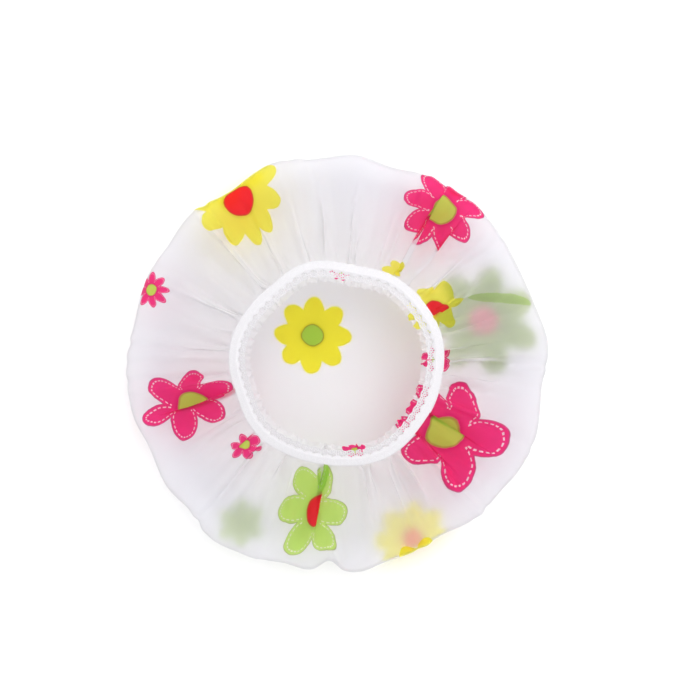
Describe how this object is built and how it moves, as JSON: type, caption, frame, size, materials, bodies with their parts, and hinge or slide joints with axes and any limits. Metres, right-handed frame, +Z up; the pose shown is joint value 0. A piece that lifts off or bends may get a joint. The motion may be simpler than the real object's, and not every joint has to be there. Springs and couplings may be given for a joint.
{
  "type": "shower cap",
  "caption": "Round gathered shower cap of frosted printed film, lying crown down, with a lace-covered elastic rim round its mouth.",
  "frame": {"origin": "centre of the flat crown face that the cap rests on", "axes": "+Z up through the mouth, +Y to the top of the picture, +X to its right"},
  "size_m": [0.2798, 0.2772, 0.051],
  "materials": {
    "printed_film": "frosted see-through film with a scattered flower print",
    "white_lace": "white stretch lace",
    "white_elastic": "woven elastic",
    "white_thread": "polyester thread"
  },
  "bodies": {
    "crown": {"film_cap": "printed_film"},
    "rim": {"lace_band": "white_lace", "elastic_strip": "white_elastic", "elastic_end_tack": "white_thread", "outer_needle_thread": "white_thread", "outer_bobbin_thread": "white_thread", "inner_needle_thread": "white_thread", "inner_bobbin_thread": "white_thread"}
  },
  "joints": [
    {"name": "rim_lift", "type": "slide", "parent": "crown", "child": "rim", "axis": [0, 0, 1], "range_m": [-0.036, 0.018], "stiffness_N_per_m": 20, "springref_m": 0.0018, "deforming": ["film_cap"]}
  ]
}
